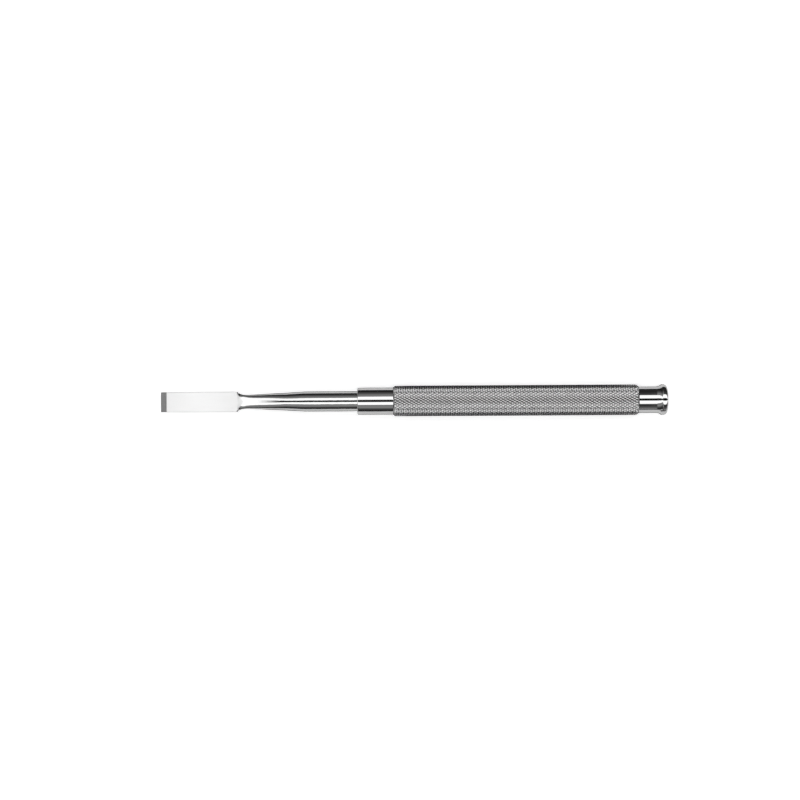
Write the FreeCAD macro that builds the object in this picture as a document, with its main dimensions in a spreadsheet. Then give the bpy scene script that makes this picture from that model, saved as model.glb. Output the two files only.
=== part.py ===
import FreeCAD, Part

import math
import os

import Sketcher
from FreeCAD import Vector

# A bone chisel of polished stainless steel, in millimetres, lying on its grip
# as it does on a table. It is two pieces: a working end, ground from round bar
# into a flat blade with one bevel, and a turned handle that holds the bar's
# plain end in a blind bore. The blade points to -X, the struck end to +X.

# Driving sizes, each one once: name, value, what it is
DRIVING_SIZES = [
    ("blade_width", 6.2, "width of the cutting edge"),
    ("blade_length", 23.6, "cutting edge to the blade's shoulders"),
    ("bevel_length", 1.75, "length of the ground bevel"),
    ("heel_thickness", 1.25, "blade thickness behind the bevel"),
    ("root_thickness", 1.9, "blade thickness at the foot of the shoulders"),
    ("edge_break", 0.1, "chamfer on the blade's long edges"),
    ("shoulder_length", 1.4, "length of the hollow ground shoulders"),
    ("shoulder_foot_width", 4.7, "neck width where the shoulders end"),
    ("shoulder_round", 0.6, "rounding of the shoulders' edges"),
    ("waist_offset", 2.3, "foot of the shoulders to the narrowest place"),
    ("waist_width", 4.4, "neck width at its narrowest"),
    ("waist_thickness", 2.7, "neck thickness at its narrowest"),
    ("flare_out_length", 5.7, "narrowest place to the start of the cone"),
    ("cone_width", 4.78, "width at the start of the cone"),
    ("cone_thickness", 4.0, "thickness at the start of the cone"),
    ("cone_length", 10.8, "length of the cone"),
    ("shank_diameter", 6.2, "round bar that the working end is made from"),
    ("shank_length", 16.9, "round shank in front of the handle"),
    ("tang_length", 20.0, "bar inside the handle"),
    ("tang_chamfer", 0.4, "chamfer on the hidden end of the bar"),
    ("braze_gap", 0.02, "gap all round the bar in its bore"),
    ("collar_diameter", 8.35, "smooth collar in front of the grip"),
    ("collar_length", 11.0, "length of the collar"),
    ("collar_round", 0.3, "rounding of the collar's mouth"),
    ("grip_diameter", 9.5, "bar stock, and crests of the knurl"),
    ("grip_length", 75.5, "length of the knurled grip"),
    ("grip_chamfer_rise", 0.5, "depth of the chamfer at each end of the grip"),
    ("grip_chamfer_run", 0.6, "length of that chamfer"),
    ("butt_diameter", 8.12, "smooth neck behind the grip"),
    ("butt_length", 8.8, "grip to the struck face"),
    ("lip_length", 1.7, "length of the flared lip"),
    ("lip_radius", 2.5, "hollow radius that flares the butt out to the lip"),
    ("lip_edge_round", 0.25, "rounding of the lip's front edge"),
    ("rim_round", 0.9, "rounding of the struck face's rim"),
]

# Sizes that follow from them: name, formula, what it is
DERIVED_SIZES = [
    ("shoulder_foot", "blade_length + shoulder_length", "station of the shoulders' foot"),
    ("shoulder_drop", "(blade_width - shoulder_foot_width) / 2", "depth of a shoulder"),
    (
        "shoulder_radius",
        "(shoulder_length ^ 2 + shoulder_drop ^ 2) / (2 * shoulder_drop)",
        "radius of a shoulder, level at its foot",
    ),
    ("waist_station", "shoulder_foot + waist_offset", "station of the narrowest place"),
    ("cone_station", "waist_station + flare_out_length", "station of the cone's start"),
    ("mid_station", "cone_station + cone_length / 2", "station half way along the cone"),
    ("mid_width", "(cone_width + shank_diameter) / 2", "width half way along the cone"),
    ("mid_thickness", "(cone_thickness + shank_diameter) / 2", "thickness at that station"),
    ("shank_station", "cone_station + cone_length", "station of the cone's end"),
    ("handle_station", "shank_station + shank_length", "station of the collar's mouth"),
    ("bar_end", "handle_station + tang_length", "station of the bar's hidden end"),
    ("bore_diameter", "shank_diameter + 2 * braze_gap", "bore that takes the bar"),
    ("grip_start", "collar_length", "grip's near end, from the collar's mouth"),
    ("grip_end", "grip_start + grip_length", "grip's far end, from there"),
    ("handle_length", "grip_end + butt_length", "length of the handle"),
    ("lip_start", "handle_length - lip_length", "lip's front edge, from there"),
    ("overall_length", "handle_station + handle_length", "cutting edge to struck face"),
]

TOUCHING = 1e-4


def make_sheet(doc):
    """Write the sizes into a spreadsheet, one alias a row."""
    sheet = doc.addObject("Spreadsheet::Sheet", "Sizes")
    rows = [(name, str(value), note) for name, value, note in DRIVING_SIZES]
    rows += [(name, "=" + formula, note) for name, formula, note in DERIVED_SIZES]
    for row, (name, content, note) in enumerate(rows, start=1):
        sheet.set("A%d" % row, note)
        sheet.set("B%d" % row, content)
        sheet.setAlias("B%d" % row, name)
    doc.recompute()
    return sheet


def new_sketch(body, name, plane_role, station=None):
    """Start a sketch on one of the body's planes, or moved along its normal."""
    sketch = body.newObject("Sketcher::SketchObject", name)
    plane = [part for part in body.Origin.OriginFeatures if part.Role == plane_role][0]
    sketch.AttachmentSupport = [(plane, "")]
    sketch.MapMode = "FlatFace"
    if station:
        sketch.setExpression("AttachmentOffset.Base.z", "Sizes." + station)
    return sketch


def cell(sheet, formula):
    """Give a formula's value now, with the sheet's names as they are written."""
    return float(sheet.evalExpression(formula))


def bind(sketch, kind, formula, sheet, *place):
    """Add one dimension to a sketch and tie it to a formula of the sheet."""
    index = sketch.addConstraint(Sketcher.Constraint(kind, *place, cell(sheet, formula)))
    sketch.setExpression("Constraints[%d]" % index, formula)


def pin_vertex(sketch, sheet, edge, end, across, along):
    """Fix the end of an edge at two formulas from the sketch's origin."""
    bind(sketch, "DistanceX", across, sheet, -1, 1, edge, end)
    bind(sketch, "DistanceY", along, sheet, -1, 1, edge, end)


def draw_polygon(sketch, sheet, corners):
    """Draw straight edges through corners that are given as formulas."""
    points = [Vector(cell(sheet, across), cell(sheet, along), 0) for across, along in corners]
    count = len(points)
    for index in range(count):
        sketch.addGeometry(Part.LineSegment(points[index], points[(index + 1) % count]))
    for index in range(count):
        sketch.addConstraint(Sketcher.Constraint("Coincident", index, 2, (index + 1) % count, 1))
        pin_vertex(sketch, sheet, index, 1, *corners[index])


def draw_circle(sketch, sheet, diameter):
    """Draw a circle about the sketch's origin."""
    radius = cell(sheet, diameter) / 2
    sketch.addGeometry(Part.Circle(Vector(0, 0, 0), Vector(0, 0, 1), radius))
    sketch.addConstraint(Sketcher.Constraint("Coincident", 0, 3, -1, 1))
    bind(sketch, "Diameter", diameter, sheet, 0)


def draw_ellipse(sketch, sheet, width, height):
    """Draw an ellipse about the sketch's origin, wider than it is high."""
    half_width = cell(sheet, width) / 2
    half_height = cell(sheet, height) / 2
    ellipse = Part.Ellipse(Vector(half_width, 0, 0), Vector(0, half_height, 0), Vector(0, 0, 0))
    sketch.addGeometry(ellipse)
    sketch.addConstraint(Sketcher.Constraint("Coincident", 0, 3, -1, 1))
    sketch.exposeInternalGeometry(0)
    major_axis, minor_axis = 1, 2
    sketch.addConstraint(Sketcher.Constraint("Horizontal", major_axis))
    bind(sketch, "Distance", width, sheet, major_axis)
    bind(sketch, "Distance", height, sheet, minor_axis)


def draw_rounded_rectangle(sketch, sheet, width, height, radius):
    """Draw a rectangle with round corners about the sketch's origin."""
    corner = cell(sheet, radius)
    far_x, far_y = cell(sheet, width) / 2, cell(sheet, height) / 2
    near_x, near_y = far_x - corner, far_y - corner
    line_ends = [
        ((-near_x, -far_y), (near_x, -far_y)),
        ((far_x, -near_y), (far_x, near_y)),
        ((near_x, far_y), (-near_x, far_y)),
        ((-far_x, near_y), (-far_x, -near_y)),
    ]
    centres = [(near_x, -near_y), (near_x, near_y), (-near_x, near_y), (-near_x, -near_y)]
    for side in range(4):
        start, end = [Vector(x, y, 0) for x, y in line_ends[side]]
        sketch.addGeometry(Part.LineSegment(start, end))
        circle = Part.Circle(Vector(*centres[side], 0), Vector(0, 0, 1), corner)
        turn = math.pi / 2 * (side - 1)
        sketch.addGeometry(Part.ArcOfCircle(circle, turn, turn + math.pi / 2))
    for edge in range(8):
        sketch.addConstraint(Sketcher.Constraint("Tangent", edge, 2, (edge + 1) % 8, 1))
    bottom, right, top, left = 0, 2, 4, 6
    for arc in (3, 5, 7):
        sketch.addConstraint(Sketcher.Constraint("Equal", 1, arc))
    sketch.addConstraint(Sketcher.Constraint("Horizontal", bottom))
    sketch.addConstraint(Sketcher.Constraint("Symmetric", right, 1, left, 2, -2))
    bind(sketch, "Radius", radius, sheet, 1)
    bind(sketch, "DistanceX", width, sheet, left, 1, right, 2)
    bind(sketch, "DistanceY", height, sheet, bottom, 1, top, 2)
    bind(sketch, "DistanceY", height + " / 2", sheet, -1, 1, top, 1)


def edges_where(shape, wanted):
    """Name the edges whose middle point and edge satisfy a test."""
    names = []
    for index, edge in enumerate(shape.Edges, start=1):
        middle = edge.valueAt((edge.FirstParameter + edge.LastParameter) / 2)
        if wanted(edge, middle):
            names.append("Edge%d" % index)
    return names


def dress(body, kind, name, formula, wanted):
    """Round or chamfer the chosen edges of the body as it is so far."""
    body.Document.recompute()
    base = body.Tip
    edges = edges_where(base.Shape, wanted)
    if not edges:
        raise ValueError("%s finds no edge" % name)
    feature = body.newObject(kind, name)
    feature.Base = (base, edges)
    size = "Radius" if kind.endswith("Fillet") else "Size"
    feature.setExpression(size, formula)
    return feature


def near(value, target):
    """Say whether two lengths are the same place."""
    return abs(value - target) < TOUCHING


def make_blade(body, sheet):
    """Grind the blade: a tapered plate with one bevel and two hollow shoulders."""
    side = new_sketch(body, "blade_side", "XZ_Plane")
    taper = "(Sizes.root_thickness - Sizes.heel_thickness) / 2"
    taper_run = "(Sizes.shoulder_foot - Sizes.bevel_length)"
    edge_drop = "Sizes.heel_thickness / 2 - %s * Sizes.bevel_length / %s" % (taper, taper_run)
    draw_polygon(side, sheet, [
        ("0", "-(%s)" % edge_drop),
        ("Sizes.shoulder_foot", "-Sizes.root_thickness / 2"),
        ("Sizes.shoulder_foot", "Sizes.root_thickness / 2"),
        ("Sizes.bevel_length", "Sizes.heel_thickness / 2"),
    ])
    plate = body.newObject("PartDesign::Pad", "blade_plate")
    plate.Profile = side
    plate.SideType = "Symmetric"
    plate.setExpression("Length", "Sizes.blade_width")

    for hand, sign in (("left", ""), ("right", "-")):
        cut_shoulder(body, sheet, hand, sign)

    blade_end = cell(sheet, "Sizes.blade_length")
    foot = cell(sheet, "Sizes.shoulder_foot")
    half_blade = cell(sheet, "Sizes.blade_width / 2")
    half_foot = cell(sheet, "Sizes.shoulder_foot_width / 2")

    def on_shoulder(edge, middle):
        curved = edge.Curve.TypeId != "Part::GeomLine"
        return curved and blade_end < middle.x < foot and abs(middle.y) > half_foot

    def on_long_edge(edge, middle):
        straight = edge.Curve.TypeId == "Part::GeomLine"
        length_wise = edge.BoundBox.XLength > blade_end / 2
        return straight and length_wise and middle.z > 0 and near(abs(middle.y), half_blade)

    # The break runs on from the long edges round the shoulders' corners to the back
    dress(body, "PartDesign::Fillet", "shoulder_rounding", "Sizes.shoulder_round", on_shoulder)
    dress(body, "PartDesign::Chamfer", "edge_break", "Sizes.edge_break", on_long_edge)


def cut_shoulder(body, sheet, hand, sign):
    """Hollow one shoulder: an arc from the blade's corner, level at the neck."""
    sketch = new_sketch(body, hand + "_shoulder_plan", "XY_Plane")
    half_blade = sign + "Sizes.blade_width / 2"
    half_foot = sign + "Sizes.shoulder_foot_width / 2"
    corner = Vector(cell(sheet, "Sizes.blade_length"), cell(sheet, half_blade), 0)
    foot = Vector(cell(sheet, "Sizes.shoulder_foot"), cell(sheet, half_foot), 0)
    outside = Vector(foot.x, corner.y, 0)
    radius = cell(sheet, "Sizes.shoulder_radius")
    outward = math.copysign(1, foot.y)
    centre = Vector(foot.x, foot.y + outward * radius, 0)
    circle = Part.Circle(centre, Vector(0, 0, 1), radius)
    to_corner = math.atan2(corner.y - centre.y, corner.x - centre.x)
    to_foot = -outward * math.pi / 2
    sketch.addGeometry(Part.LineSegment(foot, outside))
    sketch.addGeometry(Part.LineSegment(outside, corner))
    sketch.addConstraint(Sketcher.Constraint("Coincident", 0, 2, 1, 1))
    if outward > 0:
        arc = sketch.addGeometry(Part.ArcOfCircle(circle, to_corner, to_foot))
        sketch.addConstraint(Sketcher.Constraint("Coincident", 1, 2, arc, 1))
        sketch.addConstraint(Sketcher.Constraint("Coincident", arc, 2, 0, 1))
    else:
        arc = sketch.addGeometry(Part.ArcOfCircle(circle, to_foot, to_corner))
        sketch.addConstraint(Sketcher.Constraint("Coincident", 1, 2, arc, 2))
        sketch.addConstraint(Sketcher.Constraint("Coincident", arc, 1, 0, 1))
    pin_vertex(sketch, sheet, 0, 1, "Sizes.shoulder_foot", half_foot)
    pin_vertex(sketch, sheet, 1, 1, "Sizes.shoulder_foot", half_blade)
    pin_vertex(sketch, sheet, 1, 2, "Sizes.blade_length", half_blade)
    bind(sketch, "Radius", "Sizes.shoulder_radius", sheet, arc)
    pocket = body.newObject("PartDesign::Pocket", hand + "_shoulder")
    pocket.Profile = sketch
    pocket.SideType = "Symmetric"
    pocket.Type = "ThroughAll"


def make_neck(body, sheet):
    """Blend the flat blade into the round bar through five sections."""
    foot = new_sketch(body, "neck_at_shoulder", "YZ_Plane", "shoulder_foot")
    draw_rounded_rectangle(
        foot, sheet, "Sizes.shoulder_foot_width", "Sizes.root_thickness", "Sizes.shoulder_round"
    )
    sections = [foot]
    for place in ("waist", "cone", "mid"):
        section = new_sketch(body, "neck_at_" + place, "YZ_Plane", place + "_station")
        draw_ellipse(section, sheet, "Sizes.%s_width" % place, "Sizes.%s_thickness" % place)
        sections.append(section)
    end = new_sketch(body, "neck_at_shank", "YZ_Plane", "shank_station")
    draw_circle(end, sheet, "Sizes.shank_diameter")
    sections.append(end)
    neck = body.newObject("PartDesign::AdditiveLoft", "neck")
    neck.Profile = sections[0]
    neck.Sections = sections[1:]
    neck.Ruled = False


def make_bar(body, sheet):
    """Add the plain round bar: the shank in view and the tang in the handle."""
    section = new_sketch(body, "bar_section", "YZ_Plane", "shank_station")
    draw_circle(section, sheet, "Sizes.shank_diameter")
    bar = body.newObject("PartDesign::Pad", "bar")
    bar.Profile = section
    bar.setExpression("Length", "Sizes.shank_length + Sizes.tang_length")
    bar_end = cell(sheet, "Sizes.bar_end")
    dress(
        body, "PartDesign::Chamfer", "tang_chamfer", "Sizes.tang_chamfer",
        lambda edge, middle: near(middle.x, bar_end),
    )


def make_working_end(doc, sheet):
    """Blade, neck, shank and tang, from the cutting edge at x = 0 onwards."""
    body = doc.addObject("PartDesign::Body", "working_end")
    body.Label = "working_end"
    make_blade(body, sheet)
    make_neck(body, sheet)
    make_bar(body, sheet)
    return body


def make_handle(doc, sheet):
    """Collar, grip, butt and lip turned from one bar, bored for the tang."""
    body = doc.addObject("PartDesign::Body", "handle")
    body.Label = "handle"
    profile = new_sketch(body, "turned_profile", "XY_Plane")
    draw_turned_profile(profile, sheet)
    turned = body.newObject("PartDesign::Revolution", "turned_blank")
    turned.Profile = profile
    turned.ReferenceAxis = (profile, ["H_Axis"])
    turned.Angle = 360
    bore_the_collar(body, sheet)

    mouth_radius = cell(sheet, "Sizes.collar_diameter / 2")
    grip_radius = cell(sheet, "Sizes.grip_diameter / 2")
    lip_start = cell(sheet, "Sizes.lip_start")
    handle_length = cell(sheet, "Sizes.handle_length")

    def ring(station, radius):
        def wanted(edge, middle):
            return near(middle.x, station) and near(math.hypot(middle.y, middle.z), radius)
        return wanted

    fillet = "PartDesign::Fillet"
    dress(body, fillet, "mouth_rounding", "Sizes.collar_round", ring(0, mouth_radius))
    dress(body, fillet, "lip_rounding", "Sizes.lip_edge_round", ring(lip_start, grip_radius))
    dress(body, fillet, "rim_rounding", "Sizes.rim_round", ring(handle_length, grip_radius))
    return body


def draw_turned_profile(sketch, sheet):
    """Draw half the handle's outline beside its axis, with a hollow flare."""
    collar = "Sizes.collar_diameter / 2"
    crest = "Sizes.grip_diameter / 2"
    chamfer_foot = "Sizes.grip_diameter / 2 - Sizes.grip_chamfer_rise"
    butt = "Sizes.butt_diameter / 2"
    flare_rise = cell(sheet, crest) - cell(sheet, butt)
    flare_radius = cell(sheet, "Sizes.lip_radius")
    flare_run = math.sqrt(flare_radius ** 2 - (flare_radius - flare_rise) ** 2)
    flare_start = cell(sheet, "Sizes.lip_start") - flare_run

    corners = [
        ("0", "0"),
        ("0", collar),
        ("Sizes.grip_start", collar),
        ("Sizes.grip_start", chamfer_foot),
        ("Sizes.grip_start + Sizes.grip_chamfer_run", crest),
        ("Sizes.grip_end - Sizes.grip_chamfer_run", crest),
        ("Sizes.grip_end", chamfer_foot),
        ("Sizes.grip_end", butt),
    ]
    after_flare = [
        ("Sizes.lip_start", crest),
        ("Sizes.handle_length", crest),
        ("Sizes.handle_length", "0"),
    ]
    front = [Vector(cell(sheet, x), cell(sheet, y), 0) for x, y in corners]
    back = [Vector(cell(sheet, x), cell(sheet, y), 0) for x, y in after_flare]
    flare_foot = Vector(flare_start, front[-1].y, 0)

    chain = front + [flare_foot]
    for start, end in zip(chain, chain[1:]):
        sketch.addGeometry(Part.LineSegment(start, end))
    last_straight = len(chain) - 2
    centre = Vector(flare_start, flare_foot.y + flare_radius, 0)
    circle = Part.Circle(centre, Vector(0, 0, 1), flare_radius)
    to_lip = math.atan2(back[0].y - centre.y, back[0].x - centre.x)
    flare = sketch.addGeometry(Part.ArcOfCircle(circle, -math.pi / 2, to_lip))
    lip = sketch.addGeometry(Part.LineSegment(back[0], back[1]))
    face = sketch.addGeometry(Part.LineSegment(back[1], back[2]))
    axis = sketch.addGeometry(Part.LineSegment(back[2], front[0]))

    for edge in range(last_straight):
        sketch.addConstraint(Sketcher.Constraint("Coincident", edge, 2, edge + 1, 1))
    sketch.addConstraint(Sketcher.Constraint("Tangent", last_straight, 2, flare, 1))
    for first, second in ((flare, lip), (lip, face), (face, axis), (axis, 0)):
        sketch.addConstraint(Sketcher.Constraint("Coincident", first, 2, second, 1))
    for edge, (across, along) in enumerate(corners):
        pin_vertex(sketch, sheet, edge, 1, across, along)
    sketch.addConstraint(Sketcher.Constraint("Horizontal", last_straight))
    bind(sketch, "Radius", "Sizes.lip_radius", sheet, flare)
    for edge, (across, along) in zip((lip, face, axis), after_flare):
        pin_vertex(sketch, sheet, edge, 1, across, along)


def bore_the_collar(body, sheet):
    """Cut the blind bore that takes the bar, flat at its bottom."""
    section = new_sketch(body, "bore_section", "YZ_Plane")
    draw_circle(section, sheet, "Sizes.bore_diameter")
    bore = body.newObject("PartDesign::Pocket", "bore")
    bore.Profile = section
    bore.Reversed = True
    bore.setExpression("Length", "Sizes.tang_length")


def place(body, station):
    """Set a piece on the common axis, with the part's middle over the origin."""
    body.setExpression("Placement.Base.x", "%s - Sizes.overall_length / 2" % station)
    body.setExpression("Placement.Base.z", "Sizes.grip_diameter / 2")


def check(doc, bodies):
    """Stop if any feature failed or a piece is not one sound solid."""
    for item in doc.Objects:
        if "Invalid" in item.State or "Error" in item.State:
            raise ValueError("%s failed" % item.Label)
    for body in bodies:
        shape = body.Shape
        if shape.isNull() or not shape.isValid() or len(shape.Solids) != 1:
            raise ValueError("%s is not one sound solid" % body.Label)


def main():
    doc = FreeCAD.newDocument("bone_chisel")
    sheet = make_sheet(doc)
    working_end = make_working_end(doc, sheet)
    handle = make_handle(doc, sheet)
    place(working_end, "0")
    place(handle, "Sizes.handle_station")
    doc.recompute()
    check(doc, [working_end, handle])
    os.makedirs("parts", exist_ok=True)
    for body in (working_end, handle):
        body.Shape.exportStep("parts/%s.step" % body.Label)
        print(body.Label, round(body.Shape.Volume, 2), "cubic mm", body.Shape.BoundBox)


main()
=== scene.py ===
# %% [markdown]
# # A bone chisel of polished steel
#
# The tool is two pieces of stainless steel. A slim working end is ground into a
# flat blade, and a turned handle with a diamond knurl holds its round shank for
# good. Everything we model lies in the frame of the imported solids, in metres,
# so the first step loads that frame.

# %% Load the frame
import math

import bmesh
import bpy
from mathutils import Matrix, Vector


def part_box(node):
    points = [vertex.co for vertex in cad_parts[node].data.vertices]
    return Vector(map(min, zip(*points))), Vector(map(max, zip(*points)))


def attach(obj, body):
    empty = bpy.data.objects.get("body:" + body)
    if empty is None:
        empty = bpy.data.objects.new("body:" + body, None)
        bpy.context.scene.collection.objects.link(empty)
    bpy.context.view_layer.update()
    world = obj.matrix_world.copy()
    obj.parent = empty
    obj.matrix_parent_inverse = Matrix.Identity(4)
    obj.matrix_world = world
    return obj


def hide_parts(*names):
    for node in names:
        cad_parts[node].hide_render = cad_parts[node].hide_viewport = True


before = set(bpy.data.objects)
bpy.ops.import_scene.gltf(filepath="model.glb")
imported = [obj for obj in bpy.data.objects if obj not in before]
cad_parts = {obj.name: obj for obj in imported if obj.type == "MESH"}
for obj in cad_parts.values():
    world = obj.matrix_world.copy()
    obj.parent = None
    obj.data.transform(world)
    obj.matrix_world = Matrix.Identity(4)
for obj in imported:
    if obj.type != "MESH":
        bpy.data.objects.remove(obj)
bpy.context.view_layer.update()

MM = 0.001

# %% [markdown]
# A drawing of a long thin tool is easiest to read by stations: millimetres from
# the cutting edge, measured along the axis. The handle's box gives the height
# of that axis above the table, and the box of the working end gives station 0.

# %% Stations along the axis
handle_low, handle_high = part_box("handle")
AXIS_HEIGHT = (handle_low[2] + handle_high[2]) / 2
TIP_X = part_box("working_end")[0][0]
AXIS_POINT = (0, 0, AXIS_HEIGHT)


def station_x(station):
    """Turn a station in millimetres into an x in metres."""
    return TIP_X + station * MM


print("axis height", round(AXIS_HEIGHT / MM, 3), "mm, tip at", round(TIP_X / MM, 3), "mm")

# %% [markdown]
# Operators act on whatever is selected, as the hand at the screen does, so each
# modelling step first selects by place. The helper looks at the middle of every
# vertex, edge or face of the mesh in edit mode and selects those that pass a
# test. A place still holds when a size changes, where a list of numbered faces
# would not.

# %% Select by place
NEAR = 0.01 * MM


def middle_of(item):
    """Give the middle point of a vertex, an edge or a face."""
    corners = getattr(item, "verts", None)
    if corners is None:
        return item.co
    return sum((corner.co for corner in corners), Vector()) / len(corners)


def pick(kind, test):
    """Select only the vertices, edges or faces whose middle passes the test."""
    bpy.ops.mesh.select_mode(type=kind)
    bpy.ops.mesh.select_all(action="DESELECT")
    data = bpy.context.edit_object.data
    mesh = bmesh.from_edit_mesh(data)
    items = {"VERT": mesh.verts, "EDGE": mesh.edges, "FACE": mesh.faces}[kind]
    chosen = [item for item in items if test(middle_of(item))]
    for item in chosen:
        item.select_set(True)
    mesh.select_flush_mode()
    bmesh.update_edit_mesh(data)
    return len(chosen)


print("two places are the same within", round(NEAR / MM, 3), "mm")

# %% [markdown]
# A few more moves come back in every step: to select one piece alone, to open
# and leave its mesh, and to add a modifier and apply it at once, which makes
# its work part of the mesh.

# %% Open, leave and modify one piece
def select_only(piece):
    """Select one piece and nothing else."""
    bpy.ops.object.select_all(action="DESELECT")
    piece.select_set(True)
    bpy.context.view_layer.objects.active = piece


def edit(piece):
    """Open one piece in edit mode, alone."""
    select_only(piece)
    bpy.ops.object.mode_set(mode="EDIT")


def leave_edit():
    """Go back to object mode and give the piece that was edited."""
    bpy.ops.object.mode_set(mode="OBJECT")
    return bpy.context.object


def apply_modifier(piece, kind, **settings):
    """Add a modifier, set it and apply it at once."""
    select_only(piece)
    modifier = piece.modifiers.new(kind.title(), kind)
    for name, value in settings.items():
        setattr(modifier, name, value)
    bpy.ops.object.modifier_apply(modifier=modifier.name)


# %% [markdown]
# ## The working end
#
# On the real tool one round bar is ground flat at the front, hollowed at two
# shoulders and drawn out from a thin oval neck to the full bar. Such a change
# from flat to round could be sculpted or lofted from curves. It is easiest as a
# coarse cage of eight-sided rings under a Subdivision Surface: creased long
# edges keep the blade crisp, and where the crease fades the same eight lines
# flow into an oval.
#
# We start with a plate for the blade, a little thicker towards the neck, and
# bevel its four long edges. It sticks out in front of the cutting edge, where
# the bevel's grinding cut will pass through it.

# %% The blade as a plate
BLADE_HALF_WIDTH = 3.1
EDGE_BREAK = 0.1
CAGE_START = -0.5
SHOULDER = 23.6
TIP_HALF_HEIGHT = 0.6005
TAPER = 0.01398


def blade_half_height(station):
    """Half the blade's thickness, which grows slowly towards the neck."""
    return TIP_HALF_HEIGHT + TAPER * station


plate_middle_x = station_x((CAGE_START + SHOULDER) / 2)
bpy.ops.object.select_all(action="DESELECT")
bpy.ops.mesh.primitive_cube_add(
    size=1,
    location=(plate_middle_x, 0, AXIS_HEIGHT),
    scale=(
        (SHOULDER - CAGE_START) * MM,
        2 * BLADE_HALF_WIDTH * MM,
        2 * blade_half_height(SHOULDER) * MM,
    ),
)
bpy.context.object.name = "ground_working_end"
bpy.ops.object.transform_apply(location=True, rotation=True, scale=True)
edit(bpy.context.object)
pick("VERT", lambda at: at.x < station_x(0))
bpy.ops.transform.resize(
    value=(1, 1, blade_half_height(CAGE_START) / blade_half_height(SHOULDER)),
    center_override=AXIS_POINT,
)
long_edges = pick("EDGE", lambda at: abs(at.x - plate_middle_x) < MM and abs(at.y) > MM)
bpy.ops.mesh.bevel(offset=EDGE_BREAK * MM, segments=1, affect="EDGES")
working_end = leave_edit()
print("long edges broken:", long_edges)

# %% [markdown]
# A ring of the cage has two upright flank lines on each side and two crown
# lines above and below, and each ring says how far out they stand and how far
# apart they are. For an oval the reach and the spread below make the smoothed
# surface meet its half sizes exactly. On a flat ring the smoothing takes one
# part in 24 of the corners' drop off the middle, so its crown is lifted by as
# much and the flat runs on level past the shoulder.
#
# The sizes themselves come from the photograph: narrow quickly behind the
# shoulder, thinnest at station 27.4, then slowly out to the round bar.

# %% The rings of the shoulder, the neck and the shank
OVAL_REACH = 1.0243
OVAL_SPREAD = 0.4243
SMOOTHING_PARTS = 24


def plate_ring(station, half_width, cut_in, cut_down):
    """A flat ring with cut corners, lifted by what the smoothing takes off."""
    half_height = blade_half_height(station)
    flank = (half_width, half_height - cut_down)
    lift = (cut_down - EDGE_BREAK) / SMOOTHING_PARTS
    crown = (half_width - cut_in, half_height + lift)
    return station, flank, crown


def oval_ring(station, half_width, half_height, fuller=0):
    """A ring that the smoothing turns into an oval, or a fuller, flatter shape."""
    flank = (OVAL_REACH * half_width, OVAL_SPREAD * half_height)
    crown = ((OVAL_SPREAD + fuller) * half_width, OVAL_REACH * half_height)
    return station, flank, crown


RINGS = [
    plate_ring(23.95, 2.97, 1.00, 0.74),
    plate_ring(24.35, 2.66, 1.02, 0.82),
    plate_ring(24.8, 2.43, 1.10, 0.78),
    (25.5, (2.30, 0.44), (1.40, 0.99)),
    (26.3, (2.23, 0.50), (1.30, 1.14)),
    oval_ring(27.4, 2.17, 1.33, 0.14),
    oval_ring(29.2, 2.225, 1.60, 0.14),
    oval_ring(31.2, 2.36, 1.87, 0.13),
    oval_ring(33.0, 2.46, 2.09, 0.11),
    oval_ring(34.9, 2.56, 2.30, 0.08),
    oval_ring(36.8, 2.65, 2.49, 0.04),
    oval_ring(38.6, 2.715, 2.665),
    oval_ring(40.4, 2.84, 2.825),
    oval_ring(42.2, 2.97, 2.97),
    oval_ring(43.8, 3.08, 3.07),
    oval_ring(45.4, 3.1, 3.1),
    oval_ring(52.0, 3.1, 3.1),
    oval_ring(58.0, 3.1, 3.1),
    oval_ring(63.6, 3.1, 3.1),
]
print(len(RINGS), "rings from station", RINGS[0][0], "to", RINGS[-1][0])

# %% [markdown]
# Now the plate's end face is extruded from ring to ring. Each extrusion begins
# as a copy of the last ring. Its flank and crown corners are found by how far
# out they still stand, and are scaled about the axis to the new ring's sizes.

# %% Extrude from ring to ring
def reshape(end_x, old, new):
    """Scale the four corners of a ring that stand at the old place to the new."""
    corners = pick(
        "VERT",
        lambda at: abs(at.x - end_x) < NEAR and abs(abs(at.y) - old[0] * MM) < NEAR,
    )
    if corners != 4:
        raise ValueError("the ring at %s has %d corners" % (end_x, corners))
    bpy.ops.transform.resize(
        value=(1, new[0] / old[0], new[1] / old[1]), center_override=AXIS_POINT
    )


def extrude_to(ring, last):
    """Extrude the end face to the next station and set its flanks and crowns."""
    station, flank, crown = ring
    last_station, last_flank, last_crown = last
    bpy.ops.mesh.extrude_region_move(
        TRANSFORM_OT_translate={"value": ((station - last_station) * MM, 0, 0)}
    )
    end_x = station_x(station)
    reshape(end_x, last_flank, flank)
    reshape(end_x, last_crown, crown)
    pick("FACE", lambda at: abs(at.x - end_x) < NEAR)


edit(working_end)
pick("FACE", lambda at: abs(at.x - station_x(SHOULDER)) < NEAR)
last_ring = plate_ring(SHOULDER, BLADE_HALF_WIDTH, EDGE_BREAK, EDGE_BREAK)
for ring in RINGS:
    extrude_to(ring, last_ring)
    last_ring = ring
leave_edit()
print("cage of", len(working_end.data.vertices), "corners")

# %% [markdown]
# Creases decide what stays sharp. The blade's long lines and the ring at the
# shoulder are fully creased, so the shoulder keeps its corner in plan, and over
# the next two rings the long lines' crease falls away. Extra rings close beside
# an edge would hold it too, but a crease says how sharp in one number.

# %% Creases and smoothing
FADING_CREASES = (0.5, 0.2)
SMOOTHING_LEVELS = 3


def crease(test, amount):
    """Crease the edges that pass a test."""
    pick("EDGE", test)
    bpy.ops.transform.edge_crease(value=amount)


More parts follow.
